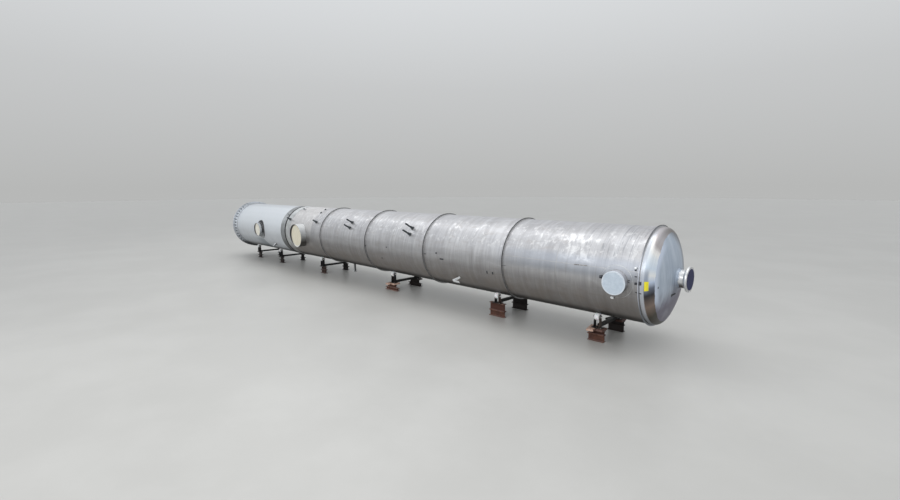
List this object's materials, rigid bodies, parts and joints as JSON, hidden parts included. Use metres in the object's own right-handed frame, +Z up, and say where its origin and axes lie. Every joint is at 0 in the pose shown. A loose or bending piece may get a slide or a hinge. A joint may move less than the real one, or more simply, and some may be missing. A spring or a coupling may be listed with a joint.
{
  "type": "distillation column on roller stands",
  "caption": "Long stainless distillation column lying on roller stands, with skirt and base ring, dished heads, stiffening rings, nozzles and a manway.",
  "frame": {"origin": "centre of the anchor bolt circle on the base ring's bearing face", "axes": "+X along the column from the base ring to the top head, +Z up, large openings on the -Y side"},
  "size_m": [25.333, 2.9151, 3.2447],
  "materials": {
    "skirt_steel": "smooth pale blue-grey coating, slightly dusty",
    "collar_steel": "brushed band plate",
    "stainless_shell": "brushed around the shell, streaked and stained",
    "polished_head": "polished knuckle with a matte film on the crown",
    "machined_steel": "machined flange",
    "board": "cream plywood board",
    "white_cover": "pale cover sheet",
    "blue_cover": "dark blue flange protector",
    "rusty_beam": "rusty rolled steel",
    "timber": "worn timber",
    "cradle_paint": "dark paint, worn and rusty at the edges",
    "shaft_steel": "dull turned steel",
    "roller_white": "white nylon, scuffed"
  },
  "bodies": {
    "root": {"base_ring": "skirt_steel", "compression_ring": "skirt_steel", "chair_gussets": "skirt_steel", "skirt": "skirt_steel", "access_neck": "skirt_steel", "access_pad": "skirt_steel", "access_board": "board", "skirt_collar": "collar_steel", "shell_collar": "collar_steel", "bottom_head": "stainless_shell", "bottom_outlet": "stainless_shell", "course_1": "stainless_shell", "course_2": "stainless_shell", "course_3": "stainless_shell", "course_4": "stainless_shell", "course_5": "stainless_shell", "stiffening_rings": "stainless_shell", "side_nozzle": "stainless_shell", "side_board": "board", "manway_neck": "stainless_shell", "manway_pad": "stainless_shell", "manway_cover": "white_cover", "small_nozzles": "stainless_shell", "lifting_lugs": "stainless_shell", "ring_clips": "stainless_shell", "top_head": "polished_head", "vapour_nozzle": "machined_steel", "vapour_cover": "blue_cover", "lower_beams": "rusty_beam", "upper_beams": "rusty_beam", "timbers": "timber", "cradles": "cradle_paint", "roller_shafts": "shaft_steel"},
    "roll_1_near": {"roller_1_near": "roller_white"},
    "roll_1_far": {"roller_1_far": "roller_white"},
    "roll_2_near": {"roller_2_near": "roller_white"},
    "roll_2_far": {"roller_2_far": "roller_white"},
    "roll_3_near": {"roller_3_near": "roller_white"},
    "roll_3_far": {"roller_3_far": "roller_white"},
    "roll_4_near": {"roller_4_near": "roller_white"},
    "roll_4_far": {"roller_4_far": "roller_white"},
    "roll_5_near": {"roller_5_near": "roller_white"},
    "roll_5_far": {"roller_5_far": "roller_white"},
    "roll_6_near": {"roller_6_near": "roller_white"},
    "roll_6_far": {"roller_6_far": "roller_white"}
  },
  "joints": [
    {"name": "roll_1_near_turn", "type": "hinge", "parent": "root", "child": "roll_1_near", "pos_m": [1.85, -0.61, -1.20186], "axis": [1, 0, 0], "continuous": true},
    {"name": "roll_1_far_turn", "type": "hinge", "parent": "root", "child": "roll_1_far", "pos_m": [1.85, 0.61, -1.20186], "axis": [1, 0, 0], "continuous": true},
    {"name": "roll_2_near_turn", "type": "hinge", "parent": "root", "child": "roll_2_near", "pos_m": [4.68, -0.61, -1.20186], "axis": [1, 0, 0], "continuous": true},
    {"name": "roll_2_far_turn", "type": "hinge", "parent": "root", "child": "roll_2_far", "pos_m": [4.68, 0.61, -1.20186], "axis": [1, 0, 0], "continuous": true},
    {"name": "roll_3_near_turn", "type": "hinge", "parent": "root", "child": "roll_3_near", "pos_m": [9.1, -0.61, -1.20186], "axis": [1, 0, 0], "continuous": true},
    {"name": "roll_3_far_turn", "type": "hinge", "parent": "root", "child": "roll_3_far", "pos_m": [9.1, 0.61, -1.20186], "axis": [1, 0, 0], "continuous": true},
    {"name": "roll_4_near_turn", "type": "hinge", "parent": "root", "child": "roll_4_near", "pos_m": [14.65, -0.61, -1.20186], "axis": [1, 0, 0], "continuous": true},
    {"name": "roll_4_far_turn", "type": "hinge", "parent": "root", "child": "roll_4_far", "pos_m": [14.65, 0.61, -1.20186], "axis": [1, 0, 0], "continuous": true},
    {"name": "roll_5_near_turn", "type": "hinge", "parent": "root", "child": "roll_5_near", "pos_m": [19.9, -0.61, -1.20186], "axis": [1, 0, 0], "continuous": true},
    {"name": "roll_5_far_turn", "type": "hinge", "parent": "root", "child": "roll_5_far", "pos_m": [19.9, 0.61, -1.20186], "axis": [1, 0, 0], "continuous": true},
    {"name": "roll_6_near_turn", "type": "hinge", "parent": "root", "child": "roll_6_near", "pos_m": [23.3, -0.61, -1.20186], "axis": [1, 0, 0], "continuous": true},
    {"name": "roll_6_far_turn", "type": "hinge", "parent": "root", "child": "roll_6_far", "pos_m": [23.3, 0.61, -1.20186], "axis": [1, 0, 0], "continuous": true}
  ]
}
